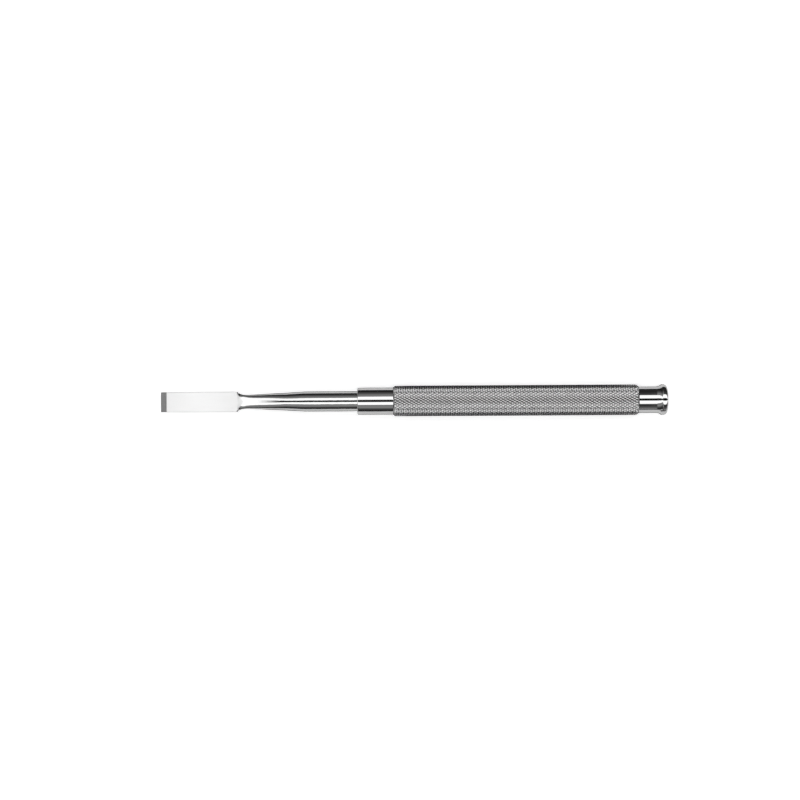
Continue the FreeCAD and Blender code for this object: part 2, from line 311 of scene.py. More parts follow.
def between(start, end):
    """A test for lengthwise edges whose middle lies between two stations."""
    return lambda at: station_x(start) + NEAR < at.x < station_x(end) - NEAR


def at_ring(station):
    """A test for the edges of one ring."""
    return lambda at: abs(at.x - station_x(station)) < NEAR


edit(working_end)
crease(between(CAGE_START, SHOULDER), 1)
crease(at_ring(CAGE_START), 1)
crease(at_ring(SHOULDER), 1)
start = SHOULDER
for amount, (station, flank, crown) in zip(FADING_CREASES, RINGS):
    crease(between(start, station), amount)
    start = station
crease(at_ring(RINGS[-1][0]), 1)
leave_edit()
apply_modifier(
    working_end, "SUBSURF", levels=SMOOTHING_LEVELS, render_levels=SMOOTHING_LEVELS
)
print("working end has", len(working_end.data.polygons), "faces")

# %% [markdown]
# The bevel is ground last on the real tool, and a bisect does the same here: a
# plane through the cutting edge at the back of the blade and the heel on top
# cuts off the corner and fills the cut with one flat face. The bevel is a hair
# longer than the solid's, because the camera's perspective shortens a face
# that leans away from it.

# %% Grind the bevel
BEVEL_LENGTH = 1.95
BLADE_MERGE = 0.0005 * MM
BLADE_SHARP = math.radians(28)

heel = Vector((station_x(BEVEL_LENGTH), 0, AXIS_HEIGHT + blade_half_height(BEVEL_LENGTH) * MM))
edge = Vector((station_x(0), 0, AXIS_HEIGHT - blade_half_height(0) * MM))
slope = heel - edge
bevel_normal = Vector((-slope.z, 0, slope.x)).normalized()

edit(working_end)
bpy.ops.mesh.select_all(action="SELECT")
bpy.ops.mesh.bisect(plane_co=heel, plane_no=bevel_normal, use_fill=True, clear_outer=True)
bpy.ops.mesh.select_all(action="SELECT")
bpy.ops.mesh.remove_doubles(threshold=BLADE_MERGE)
bpy.ops.mesh.normals_make_consistent(inside=False)
leave_edit()
bpy.ops.object.shade_smooth_by_angle(angle=BLADE_SHARP)
print("bevel at", round(math.degrees(math.atan2(slope.z, slope.x)), 1), "degrees")

# %% [markdown]
# ## The turned handle
#
# A lathe makes the collar, the grip's blank, the plain butt and the flared lip
# from one bar. Stacked cylinders and cones would leave seams to join, so we
# work as the lathe does and turn one outline about the axis. First come the
# outline's points, as stations and radii in millimetres. The grip's blank is a
# little too thick here, because the knurl is cut out of it afterwards.

# %% The handle's sizes and outline
MOUTH = 60.7
GRIP_START = 71.7
GRIP_END = 147.2
LIP_START = 154.3
FACE = 156.0
BORE_BOTTOM = 63.7
BORE_RADIUS = 3.12
COLLAR_RADIUS = 4.175
BUTT_RADIUS = 4.06
CREST_RADIUS = 4.75
CHAMFER_FOOT = 4.25
CHAMFER_RUN = 0.6
BLANK_RADIUS = 4.9
FLARE_RADIUS = 2.5
FLARE_STEPS = 8

blank_run = CHAMFER_RUN * (BLANK_RADIUS - CHAMFER_FOOT) / (CREST_RADIUS - CHAMFER_FOOT)
flare_angle = math.acos(1 - (CREST_RADIUS - BUTT_RADIUS) / FLARE_RADIUS)
flare_start = LIP_START - FLARE_RADIUS * math.sin(flare_angle)
flare = [
    (
        flare_start + FLARE_RADIUS * math.sin(flare_angle * step / FLARE_STEPS),
        BUTT_RADIUS + FLARE_RADIUS * (1 - math.cos(flare_angle * step / FLARE_STEPS)),
    )
    for step in range(FLARE_STEPS + 1)
]
outline = [
    (BORE_BOTTOM, 0),
    (BORE_BOTTOM, BORE_RADIUS),
    (MOUTH, BORE_RADIUS),
    (MOUTH, COLLAR_RADIUS),
    (GRIP_START, COLLAR_RADIUS),
    (GRIP_START, CHAMFER_FOOT),
    (GRIP_START + blank_run, BLANK_RADIUS),
    (GRIP_END - blank_run, BLANK_RADIUS),
    (GRIP_END, CHAMFER_FOOT),
    (GRIP_END, BUTT_RADIUS),
    *flare,
    (FACE, CREST_RADIUS),
    (FACE, 0),
]
print("outline of", len(outline), "points, flare from station", round(flare_start, 2))

# %% [markdown]
# A plane merged into its middle is a single vertex. It is moved to the first
# point of the outline and extruded from point to point, as one would click the
# points of a profile in the side view.

# %% Draw the outline
def outline_point(station, radius):
    """Where a point of the outline stands above the axis."""
    return Vector((station_x(station), 0, AXIS_HEIGHT + radius * MM))


bpy.ops.object.select_all(action="DESELECT")
bpy.ops.mesh.primitive_plane_add(size=MM, location=(0, 0, 0))
handle = bpy.context.object
handle.name = "turned_handle"
edit(handle)
pick("VERT", lambda at: True)
bpy.ops.mesh.merge(type="CENTER")
pick("VERT", lambda at: True)
bpy.ops.transform.translate(value=outline_point(*outline[0]))
for start, end in zip(outline, outline[1:]):
    step = outline_point(*end) - outline_point(*start)
    bpy.ops.mesh.extrude_vertices_move(TRANSFORM_OT_translate={"value": step})
leave_edit()
print("outline drawn with", len(handle.data.edges), "edges")

# %% [markdown]
# The corners that a lathe hand would ease are rounded now, while they are still
# single vertices: the collar's mouth, the lip's front edge and the struck rim.
# Then Spin turns the outline once round the axis, and merging the doubles
# closes the seam and the two poles.

# %% Round the corners and spin
MOUTH_ROUND = 0.3
BORE_ROUND = 0.08
LIP_ROUND = 0.12
RIM_ROUND = 0.9
SPIN_STEPS = 136
HANDLE_MERGE = 0.001 * MM


def round_corner(station, radius, size, segments):
    """Round one vertex of the outline."""
    corner = outline_point(station, radius)
    pick("VERT", lambda at: (at - corner).length < NEAR)
    bpy.ops.mesh.bevel(offset=size * MM, segments=segments, affect="VERTICES")


edit(handle)
round_corner(MOUTH, COLLAR_RADIUS, MOUTH_ROUND, segments=5)
round_corner(MOUTH, BORE_RADIUS, BORE_ROUND, segments=2)
round_corner(LIP_START, CREST_RADIUS, LIP_ROUND, segments=4)
round_corner(FACE, CREST_RADIUS, RIM_ROUND, segments=9)
bpy.ops.mesh.select_all(action="SELECT")
bpy.ops.mesh.spin(
    steps=SPIN_STEPS, angle=2 * math.pi, center=AXIS_POINT, axis=(1, 0, 0)
)
bpy.ops.mesh.select_all(action="SELECT")
bpy.ops.mesh.remove_doubles(threshold=HANDLE_MERGE)
bpy.ops.mesh.normals_make_consistent(inside=False)
leave_edit()
print("turned blank has", len(handle.data.polygons), "faces")

# %% [markdown]
# ## The diamond knurl
#
# Two sets of V grooves cross at 31 degrees to the axis and leave small diamonds
# with blunt crests, 34 of them round the bar. A bump in the material could hint
# at them, but then the rim of the grip would stay smooth, so they are made as
# real shape. One diamond starts as a square turned on its corner. That makes it
# wider by the root of two, which is divided out as it is stretched to the pitch.
# It gets two insets: one for its flanks, and one for the eased edge of its
# crest. Its side corners come down a little, so that the root follows the round
# of the bar. The crest ends at 4.745 mm, a hair inside the 9.5 mm over the whole
# grip. A diamond has nine faces only, because there are more than three thousand.

# %% One diamond
STARTS = 34
PITCH = 1.435
ROOT_RADIUS = 4.50
CUTTER_START = 70.9
FLANK_RUN, FLANK_RISE = 0.24, 0.22
CREST_EASE_RUN, CREST_EASE_RISE = 0.06, 0.025
half_turn = math.pi / STARTS
diamond_middle = outline_point(CUTTER_START, ROOT_RADIUS)


def inset_and_raise(run, rise):
    """Step the selected face inwards and lift it."""
    bpy.ops.mesh.inset(thickness=run * MM, depth=0)
    bpy.ops.transform.translate(value=(0, 0, rise * MM))


bpy.ops.object.select_all(action="DESELECT")
bpy.ops.mesh.primitive_plane_add(size=MM, location=diamond_middle)
cutter = bpy.context.object
cutter.name = "knurl_cutter"
bpy.ops.object.transform_apply(location=True, rotation=True, scale=True)
edit(cutter)
bpy.ops.mesh.select_all(action="SELECT")
bpy.ops.transform.rotate(
    value=math.pi / 4, orient_axis="Z", center_override=diamond_middle
)
bpy.ops.transform.resize(
    value=(
        PITCH / math.sqrt(2),
        2 * ROOT_RADIUS * math.sin(half_turn) / math.sqrt(2),
        1,
    ),
    center_override=diamond_middle,
)
pick("VERT", lambda at: abs(at.y) > NEAR)
bpy.ops.transform.translate(value=(0, 0, -ROOT_RADIUS * (1 - math.cos(half_turn)) * MM))
bpy.ops.mesh.select_all(action="SELECT")
bpy.ops.mesh.select_mode(type="FACE")
inset_and_raise(FLANK_RUN, FLANK_RISE)
inset_and_raise(CREST_EASE_RUN, CREST_EASE_RISE)
leave_edit()
print("one diamond has", len(cutter.data.polygons), "faces")

# %% [markdown]
# A copy moved and turned by half a pitch fills the gap beside the diamond, an
# Array repeats the pair along the axis, and Spin with copies repeats that row
# round the bar. Diamonds that touch at their root corners are merged there.

# %% Repeat the diamond
REPEATS = 54
CUTTER_MERGE = 0.002 * MM

edit(cutter)
bpy.ops.mesh.select_all(action="SELECT")
bpy.ops.mesh.duplicate_move(TRANSFORM_OT_translate={"value": (PITCH / 2 * MM, 0, 0)})
bpy.ops.transform.rotate(value=half_turn, orient_axis="X", center_override=AXIS_POINT)
leave_edit()
apply_modifier(
    cutter,
    "ARRAY",
    count=REPEATS,
    use_relative_offset=False,
    use_constant_offset=True,
    constant_offset_displace=(PITCH * MM, 0, 0),
)
edit(cutter)
bpy.ops.mesh.select_all(action="SELECT")
bpy.ops.mesh.spin(
    steps=STARTS - 1,
    dupli=True,
    angle=2 * math.pi * (STARTS - 1) / STARTS,
    center=AXIS_POINT,
    axis=(1, 0, 0),
)
bpy.ops.mesh.select_all(action="SELECT")
bpy.ops.mesh.remove_doubles(threshold=CUTTER_MERGE)
leave_edit()
print("diamonds:", 2 * STARTS * REPEATS)

# %% [markdown]
# The surface with all its diamonds becomes a thick sleeve round the grip: its
# two open ends are extruded outwards and bridged. That sleeve is what the
# knurling wheels press away.

# %% Close the cutter into a sleeve
SLEEVE_GROWTH = 1.4

edit(cutter)
bpy.ops.mesh.select_mode(type="EDGE")
bpy.ops.mesh.select_all(action="DESELECT")
bpy.ops.mesh.select_non_manifold()
bpy.ops.mesh.extrude_edges_move()
bpy.ops.transform.resize(
    value=(1, SLEEVE_GROWTH, SLEEVE_GROWTH), center_override=AXIS_POINT
)
bpy.ops.mesh.bridge_edge_loops()
bpy.ops.mesh.select_all(action="SELECT")
bpy.ops.mesh.normals_make_consistent(inside=False)
leave_edit()
print("cutter has", len(cutter.data.polygons), "faces")

# %% [markdown]
# The Boolean takes the sleeve away from the blank, chamfers and all. Of its
# solvers Manifold is chosen: both meshes are closed, and it is fast and exact
# on thousands of small faces.

# %% Cut the knurl out of the blank
HANDLE_SHARP = math.radians(60)

apply_modifier(handle, "BOOLEAN", operation="DIFFERENCE", solver="MANIFOLD", object=cutter)
bpy.data.objects.remove(cutter)
edit(handle)
bpy.ops.mesh.select_all(action="SELECT")
bpy.ops.mesh.remove_doubles(threshold=HANDLE_MERGE)
leave_edit()
bpy.ops.object.shade_smooth_by_angle(angle=HANDLE_SHARP)
print("handle has", len(handle.data.polygons), "faces")

# %% [markdown]
# ## Finishes
#
# All of it is one kind of stainless steel, and only the finish differs: how
# rough the surface is and what the last tool left on it. Pictures could carry
# such marks, but marks that are worked out from the place stay sharp at any
# distance and need no unwrapping. Coordinates are the object's own, scaled to
# millimetres.

# %% Start a material
def grey(level):
    """One grey as a colour."""
    return (level, level, level, 1)


def new_material(name):
    """Start a material and give its nodes, links and shader."""
    material = bpy.data.materials.new(name)
    material.use_nodes = True
    nodes = material.node_tree.nodes
    return material, nodes, material.node_tree.links, nodes["Principled BSDF"]


def new_metal(name):
    """Start a material of bare metal."""
    material, nodes, links, shader = new_material(name)
    shader.inputs["Metallic"].default_value = 1
    return material, nodes, links, shader


STEEL = grey(0.66)
print("steel reflects", STEEL[0])

# %% [markdown]
# A material is a chain of small steps. These first helpers add a node with its
# values, give a place in millimetres and do one step of arithmetic.

# %% Nodes, places and sums
def add(nodes, kind, **values):
    """Add a node, set its plain properties and its inputs by name."""
    node = nodes.new(kind)
    for name, value in values.items():
        if name in node.inputs:
            node.inputs[name].default_value = value
        else:
            setattr(node, name, value)
    return node


def in_millimetres(nodes, links, stretch=(1, 1, 1)):
    """Object coordinates in millimetres, stretched along an axis if wanted."""
    place = add(nodes, "ShaderNodeTexCoord")
    scale = add(nodes, "ShaderNodeMapping")
    scale.inputs["Scale"].default_value = [part / MM for part in stretch]
    links.new(place.outputs["Object"], scale.inputs["Vector"])
    return scale.outputs["Vector"]


def calculate(nodes, links, operation, first, second=None, third=None):
    """Add one step of arithmetic whose operands are numbers or sockets."""
    step = add(nodes, "ShaderNodeMath", operation=operation)
    for slot, value in enumerate((first, second, third)):
        if isinstance(value, (int, float)):
            step.inputs[slot].default_value = value
        elif value is not None:
            links.new(value, step.inputs[slot])
    return step.outputs[0]


print("one unit of a pattern is", MM, "m")

# %% [markdown]
# The finishes below are worked out from the same four things: a change of range,
# a soft noise, a mix of two colours and a bump.

# %% Ranges, noises, colours and bumps
def rescale(nodes, links, value, source, target=(0, 1), easing="LINEAR"):
    """Carry a value from one range to another and hold it at both ends."""
    step = add(nodes, "ShaderNodeMapRange", interpolation_type=easing)
    names = ("From Min", "From Max", "To Min", "To Max")
    for name, number in zip(names, (*source, *target)):
        step.inputs[name].default_value = number
    links.new(value, step.inputs["Value"])
    return step.outputs["Result"]


def noise(nodes, links, place, scale, detail):
    """A soft noise between 0 and 1."""
    cloud = add(nodes, "ShaderNodeTexNoise", Scale=scale, Detail=detail)
    links.new(place, cloud.inputs["Vector"])
    return cloud.outputs["Fac"]


def mix_colours(nodes, links, factor, first, second):
    """Mix two colours, which are plain values or sockets."""
    mix = add(nodes, "ShaderNodeMix", data_type="RGBA")
    links.new(factor, mix.inputs["Factor"])
    for name, colour in (("A", first), ("B", second)):
        if isinstance(colour, tuple):
            mix.inputs[name].default_value = colour
        else:
            links.new(colour, mix.inputs[name])
    return mix.outputs["Result"]


def bump(nodes, links, shader, height, strength, depth):
    """Let a pattern tilt the surface as if it were carved to a depth."""
    relief = add(nodes, "ShaderNodeBump", Strength=strength, Distance=depth)
    links.new(height, relief.inputs["Height"])
    links.new(relief.outputs["Normal"], shader.inputs["Normal"])


# %% [markdown]
# The collar, the butt and the flared lip come polished off the lathe. Under a
# lens such a surface still has the faint lines of the tool's feed: round the bar
# on its sides and in rings on its face. The sum of the place along the bar and
# the distance from the axis grows along both, so a noise that varies with that
# sum alone draws the lines.

# %% Turned and polished steel
FEED_LINES = 9.0
FEED_DETAIL = 3.0
FEED_STRENGTH = 0.15
FEED_DEPTH = 0.02 * MM
MIRROR_GLOSS = (0.03, 0.07)


def along_and_out(nodes, links, place):
    """Give the place along the tool and the distance from its axis, in millimetres."""
    split = add(nodes, "ShaderNodeSeparateXYZ")
    links.new(place, split.inputs["Vector"])
    across, up = split.outputs["Y"], split.outputs["Z"]
    up = calculate(nodes, links, "SUBTRACT", up, AXIS_HEIGHT / MM)
    up_squared = calculate(nodes, links, "MULTIPLY", up, up)
    out_squared = calculate(nodes, links, "MULTIPLY_ADD", across, across, up_squared)
    return split.outputs["X"], calculate(nodes, links, "SQRT", out_squared)


turned, nodes, links, shader = new_metal("turned_polished_steel")
shader.inputs["Base Color"].default_value = STEEL
along, radius = along_and_out(nodes, links, in_millimetres(nodes, links))
feed = add(
    nodes, "ShaderNodeTexNoise", noise_dimensions="1D", Scale=FEED_LINES, Detail=FEED_DETAIL
)
links.new(calculate(nodes, links, "ADD", along, radius), feed.inputs["W"])
gloss = rescale(nodes, links, feed.outputs["Fac"], (0, 1), MIRROR_GLOSS)
links.new(gloss, shader.inputs["Roughness"])
bump(nodes, links, shader, feed.outputs["Fac"], FEED_STRENGTH, FEED_DEPTH)
print(turned.name, "has a roughness of", MIRROR_GLOSS[0], "to", MIRROR_GLOSS[1])

# %% [markdown]
# The knurl is the same steel, but its grooves never meet the polishing wheel,
# while the crests are rubbed bright and finely scratched. Its colour is painted
# darker down into the grooves, as painted shade. The distance from the axis tells
# groove from crest, and two noises keep one diamond from looking just like the next.

# %% Knurled steel
GROOVE_SHADE_STEEL = grey(0.35)
CREST_STEEL = grey(0.78)
RUBBED_DEPTH = 0.03
RUBBED_FROM = 0.5
KNURL_GLOSS = (0.05, 0.28)
GRAIN_SCALE, GRAIN_DETAIL, GRAIN_SPREAD = 1.6, 4.0, 0.04
WEAR_SCALE, WEAR_DETAIL = 1.3, 2.0
WEAR_STRENGTH = 0.6
WEAR_DEPTH = 0.08 * MM

knurled, nodes, links, shader = new_metal("knurled_steel")
place = in_millimetres(nodes, links)
along, radius = along_and_out(nodes, links, place)
rise = rescale(nodes, links, radius, (ROOT_RADIUS, CREST_RADIUS - RUBBED_DEPTH))
# painted shade: the colour darkens from the crest down to the groove root
tone = mix_colours(nodes, links, rise, GROOVE_SHADE_STEEL, CREST_STEEL)
links.new(tone, shader.inputs["Base Color"])
grain = noise(nodes, links, place, GRAIN_SCALE, GRAIN_DETAIL)
gloss = rescale(nodes, links, rise, (RUBBED_FROM, 1), KNURL_GLOSS)
uneven = calculate(nodes, links, "MULTIPLY_ADD", grain, GRAIN_SPREAD, -GRAIN_SPREAD / 2)
rough = calculate(nodes, links, "ADD", gloss, uneven)
links.new(rough, shader.inputs["Roughness"])
wear = noise(nodes, links, place, WEAR_SCALE, WEAR_DETAIL)
bump(nodes, links, shader, wear, WEAR_STRENGTH, WEAR_DEPTH)
print("grooves reflect", GROOVE_SHADE_STEEL[0], "and crests", CREST_STEEL[0])

# %% [markdown]
# One piece has two finishes here. The flat of the blade is lapped to a satin
# with fine lines along the tool, and it ends in a tongue at the neck; from there
# on everything is hand polished, which leaves it faintly wavy. A line across the
# tool that bows forward in the middle divides the two, and how far a place lies
# past that line says which finish it has.

# %% Where the satin flat ends
FLAT_END = 25.8
FLAT_END_BOW = 2.6
TONGUE_ROUND = 0.01
FLAT_END_BLEND = 0.15

blade, nodes, links, shader = new_metal("ground_blade_steel")
split = add(nodes, "ShaderNodeSeparateXYZ")
links.new(in_millimetres(nodes, links), split.inputs["Vector"])
across = calculate(nodes, links, "DIVIDE", split.outputs["Y"], BLADE_HALF_WIDTH)
across_squared = calculate(nodes, links, "MULTIPLY_ADD", across, across, TONGUE_ROUND)
bow = calculate(nodes, links, "SQRT", across_squared)
flat_end_x = station_x(FLAT_END) / MM
flat_end = calculate(nodes, links, "MULTIPLY_ADD", bow, -FLAT_END_BOW, flat_end_x)
past_flat = calculate(nodes, links, "SUBTRACT", split.outputs["X"], flat_end)
polished = rescale(
    nodes, links, past_flat, (-FLAT_END_BLEND, FLAT_END_BLEND), easing="SMOOTHSTEP"
)
satin = calculate(nodes, links, "SUBTRACT", 1, polished)
print("the flat ends at station", FLAT_END - FLAT_END_BOW, "beside the tongue")

# %% [markdown]
# The lapping lines are a noise drawn out along the tool. They roughen and
# furrow the satin alone, so both are multiplied by how satin the place is. The
# slow waves of hand polishing run under all of it.

# %% Satin flat, polished neck and shank
SATIN = grey(0.76)
LAPPING_LINES = (0.2, 6, 6)
LAPPING_DETAIL = 4.0
LAPPING_SPREAD = 0.24
LAPPING_FURROW = 0.5
SATIN_TO_POLISHED = (0.5, 0.08)
POLISHING_WAVES = (0.6, 1, 1)
WAVE_SCALE, WAVE_DETAIL = 1.4, 2.0
BLADE_STRENGTH = 0.35
BLADE_DEPTH = 0.03 * MM

colour = mix_colours(nodes, links, polished, SATIN, STEEL)
links.new(colour, shader.inputs["Base Color"])
lines = in_millimetres(nodes, links, LAPPING_LINES)
lapping = noise(nodes, links, lines, 1.0, LAPPING_DETAIL)
rough = rescale(nodes, links, polished, (0, 1), SATIN_TO_POLISHED)
uneven = calculate(
    nodes, links, "MULTIPLY_ADD", lapping, LAPPING_SPREAD, -LAPPING_SPREAD / 2
)
uneven = calculate(nodes, links, "MULTIPLY", uneven, satin)
rough = calculate(nodes, links, "ADD", rough, uneven)
links.new(rough, shader.inputs["Roughness"])
waved = in_millimetres(nodes, links, POLISHING_WAVES)
waves = noise(nodes, links, waved, WAVE_SCALE, WAVE_DETAIL)
furrows = calculate(nodes, links, "MULTIPLY", lapping, LAPPING_FURROW)
furrows = calculate(nodes, links, "MULTIPLY", furrows, satin)
surface = calculate(nodes, links, "ADD", waves, furrows)
bump(nodes, links, shader, surface, BLADE_STRENGTH, BLADE_DEPTH)
print("roughness falls from", SATIN_TO_POLISHED[0], "to", SATIN_TO_POLISHED[1])

# %% [markdown]
# The bevel comes last and straight off the stone: matt, darker and full of fine
# scratches that run from the heel to the edge. One noise, fine across the tool
# and slow along it, sets their tone, their roughness and their depth together,
# as one and the same scratch does.

# %% The freshly ground bevel
STONE_SCRATCHES = (0.4, 8, 0.4)
SCRATCH_DETAIL = 4.0
STONE_TONES = (grey(0.20), grey(0.44))
STONE_ROUGHNESS = (0.35, 0.65)
SCRATCH_STRENGTH = 0.5
SCRATCH_DEPTH = 0.01 * MM

bevelled, nodes, links, shader = new_metal("ground_bevel_steel")
lines = in_millimetres(nodes, links, STONE_SCRATCHES)
scratches = noise(nodes, links, lines, 1.0, SCRATCH_DETAIL)
links.new(mix_colours(nodes, links, scratches, *STONE_TONES), shader.inputs["Base Color"])
rough = rescale(nodes, links, scratches, (0, 1), STONE_ROUGHNESS)
links.new(rough, shader.inputs["Roughness"])
bump(nodes, links, shader, scratches, SCRATCH_STRENGTH, SCRATCH_DEPTH)
print("bevel scratches are about", 1 / STONE_SCRATCHES[1], "mm apart")

# %% [markdown]
# Each piece carries two finishes. The bevel's face is known by its direction
# and the grip's faces by their place, so the finish goes where it belongs
# whatever the order in which the faces were made. Each piece then rides on the
# root body, and the node of the solids it stands for is hidden.

# %% Put the finishes on
SAME_DIRECTION = 0.99

working_end.data.materials.clear()
handle.data.materials.clear()
for material in (blade, bevelled):
    working_end.data.materials.append(material)
for material in (turned, knurled):
    handle.data.materials.append(material)
for face in working_end.data.polygons:
    face.material_index = int(face.normal.dot(bevel_normal) > SAME_DIRECTION)
for face in handle.data.polygons:
    on_grip = station_x(GRIP_START) + NEAR < face.center.x < station_x(GRIP_END) - NEAR
    face.material_index = int(on_grip)

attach(working_end, "root")
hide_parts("working_end")
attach(handle, "root")
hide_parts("handle")

for piece in (working_end, handle):
    second = sum(face.material_index for face in piece.data.polygons)
    print("faces of", piece.data.materials[1].name + ":", second)

# %% [markdown]
# ## The studio
#
# Polished steel shows only its surroundings, so the light is a tent: a long
# half barrel over the tool. Lamps alone would show in the steel as small hard
# spots. The camera looks in through the canvas, which it doesn't see itself.

# %% The light tent
TENT_RADIUS = 0.7
TENT_HALF_LENGTH = 0.9
TENT_SIDES = 64
TENT_FOOT = -0.02

bpy.ops.object.select_all(action="DESELECT")
bpy.ops.mesh.primitive_cylinder_add(
    vertices=TENT_SIDES, radius=TENT_RADIUS, depth=2 * TENT_HALF_LENGTH,
    rotation=(0, math.pi / 2, 0),
)
tent = bpy.context.object
tent.name = "light_tent"
bpy.ops.object.transform_apply(location=True, rotation=True, scale=True)
edit(tent)
bpy.ops.mesh.select_all(action="SELECT")
bpy.ops.mesh.bisect(
    plane_co=(0, 0, TENT_FOOT), plane_no=(0, 0, 1), use_fill=False, clear_inner=True
)
bpy.ops.mesh.select_all(action="SELECT")
bpy.ops.mesh.flip_normals()
leave_edit()
tent.visible_camera = False
print("tent of", len(tent.data.polygons), "faces")

# %% [markdown]
# The bands in the steel are the tent's bands. Its inside is bright beside a
# narrow dark gap overhead, greyer further down and dark at the foot. Each table
# lists the lean from straight up, in degrees and positive towards the top of
# the picture, and how bright the canvas is there. The lip of the real tool
# mirrors other parts of the studio, so it has a table of its own.

# %% The tent's tones
BRIGHTEST = 2.0
BESIDE_THE_MIDDLE = [
    (-90, 0.02), (-73, 0.06), (-63, 0.17), (-53, 0.35), (-44, 0.26),
    (-31.6, 0.26), (-30.8, 1.6), (-8.7, 1.6), (-7.9, 0.03),
    (12, 0.03), (12.8, 1.6), (37.6, 1.6), (38.4, 0.28),
    (52, 0.27), (62, 0.17), (72, 0.08), (90, 0.02),
]
BESIDE_THE_LIP = [
    (-90, 0.4), (-83, 0.25), (-72, 0.13), (-62, 0.08), (-52, 0.03),
    (-37, 0.08), (-36, 1.6), (-8.8, 1.6), (-8, 0.005),
    (10.8, 0.005), (11.6, 1.6), (38.5, 1.6), (39.5, 0.08),
    (56, 0.05), (67, 0.025), (78, 0.02), (90, 0.05),
]


def tone_ramp(nodes, links, share, levels):
    """A ramp over the lean, in shares of the tent's brightest tone."""
    ramp = add(nodes, "ShaderNodeValToRGB")
    links.new(share, ramp.inputs["Fac"])
    stops = ramp.color_ramp.elements
    stops.remove(stops[0])
    for index, (lean_angle, level) in enumerate(levels):
        at = (lean_angle + 90) / 180
        stop = stops[0] if index == 0 else stops.new(at)
        stop.position = at
        stop.color = grey(level / BRIGHTEST)
    return ramp.outputs["Color"]


print(len(BESIDE_THE_MIDDLE), "tones beside the middle,", len(BESIDE_THE_LIP), "beside the lip")

# %% [markdown]
# The canvas glows by itself. Its lean is the angle of a place about the tool,
# and on the way to the lip the first table gives way to the second.

# %% The tent's canvas
LIP_TONES = (0.10, 0.15)


def bare_material(name):
    """Start a material with no nodes in it."""
    material, nodes, links, shader = new_material(name)
    nodes.clear()
    return material, nodes, links


def show(nodes, links, surface):
    """Join a finished shader to the material's output."""
    output = add(nodes, "ShaderNodeOutputMaterial")
    links.new(surface, output.inputs["Surface"])


canvas, nodes, links = bare_material("tent_canvas")
place = add(nodes, "ShaderNodeTexCoord")
split = add(nodes, "ShaderNodeSeparateXYZ")
links.new(place.outputs["Object"], split.inputs["Vector"])
lean = calculate(nodes, links, "ARCTAN2", split.outputs["Y"], split.outputs["Z"])
share = calculate(nodes, links, "MULTIPLY_ADD", lean, 1 / math.pi, 0.5)
middle_tone = tone_ramp(nodes, links, share, BESIDE_THE_MIDDLE)
lip_tone = tone_ramp(nodes, links, share, BESIDE_THE_LIP)
towards_lip = rescale(nodes, links, split.outputs["X"], LIP_TONES, easing="SMOOTHSTEP")
tone = mix_colours(nodes, links, towards_lip, middle_tone, lip_tone)
strength = calculate(nodes, links, "MULTIPLY", tone, BRIGHTEST)
glow = add(nodes, "ShaderNodeEmission")
links.new(strength, glow.inputs["Strength"])
show(nodes, links, glow.outputs["Emission"])
tent.data.materials.append(canvas)
print("the lip's tones begin at x", round(LIP_TONES[0] / MM), "mm")

# %% [markdown]
# The tool lies on plain pale paper. Seen directly the paper glows a little, so
# that it meets the white of the photograph and the tool's soft shadow stays. In
# the steel it glows less, or the lower edges of the round parts would wash out.

# %% The floor
FLOOR_SIZE = 16
PAPER = grey(0.8)
PAPER_ROUGHNESS = 0.9
PAPER_SHINE = 0.1
GLOW_SEEN = 0.65
GLOW_MIRRORED = 0.15

bpy.ops.object.select_all(action="DESELECT")
bpy.ops.mesh.primitive_plane_add(size=FLOOR_SIZE)
floor = bpy.context.object
floor.name = "pale_floor"
paper, nodes, links, shader = new_material("pale_paper")
shader.inputs["Base Color"].default_value = PAPER
shader.inputs["Roughness"].default_value = PAPER_ROUGHNESS
shader.inputs["Specular IOR Level"].default_value = PAPER_SHINE
shader.inputs["Emission Color"].default_value = grey(1)
rays = add(nodes, "ShaderNodeLightPath").outputs
seen = calculate(
    nodes, links, "MAXIMUM", rays["Is Camera Ray"], rays["Is Transmission Ray"]
)
direct = calculate(nodes, links, "MULTIPLY", seen, GLOW_SEEN)
glow = calculate(
    nodes, links, "MULTIPLY_ADD", rays["Is Glossy Ray"], GLOW_MIRRORED, direct
)
links.new(glow, shader.inputs["Emission Strength"])
floor.data.materials.append(paper)
print("paper reflects", PAPER[0], "and glows", GLOW_SEEN, "when seen")

# %% [markdown]
# A photographer steers what polished metal shows with cards just out of view.
# Ours are flat planes that only reflections see, so that they cast no shadow
# and colour no paper.

# %% A card that only reflections see
def place_card(name, low, high, height):
    """Stage a flat card between two corners, for reflections alone."""
    bpy.ops.object.select_all(action="DESELECT")
    middle = ((low[0] + high[0]) / 2, (low[1] + high[1]) / 2, height)
    bpy.ops.mesh.primitive_plane_add(size=1, location=middle)
    card = bpy.context.object
    card.name = name
    card.scale = (high[0] - low[0], high[1] - low[1], 1)
    bpy.ops.object.transform_apply(location=True, rotation=True, scale=True)
    card.visible_camera = False
    card.visible_diffuse = False
    card.visible_transmission = False
    card.visible_volume_scatter = False
    card.visible_shadow = False
    print(name, "is", round((high[1] - low[1]) / MM, 1), "mm wide")
    return card


# %% [markdown]
# The dark gap overhead would show as a line along the blade and the thin neck
# too. A small white card close over the blade covers it there and fades out
# above the neck. It stands so low that the flare at the other end can't mirror
# it.

# %% A white card over the blade
CARD_HEIGHT = 0.03
CARD_START, CARD_END = -0.084, -0.0485
CARD_FADE = 0.0105
CARD_HALF_WIDTH = 0.009
CARD_GLOW = 1.6

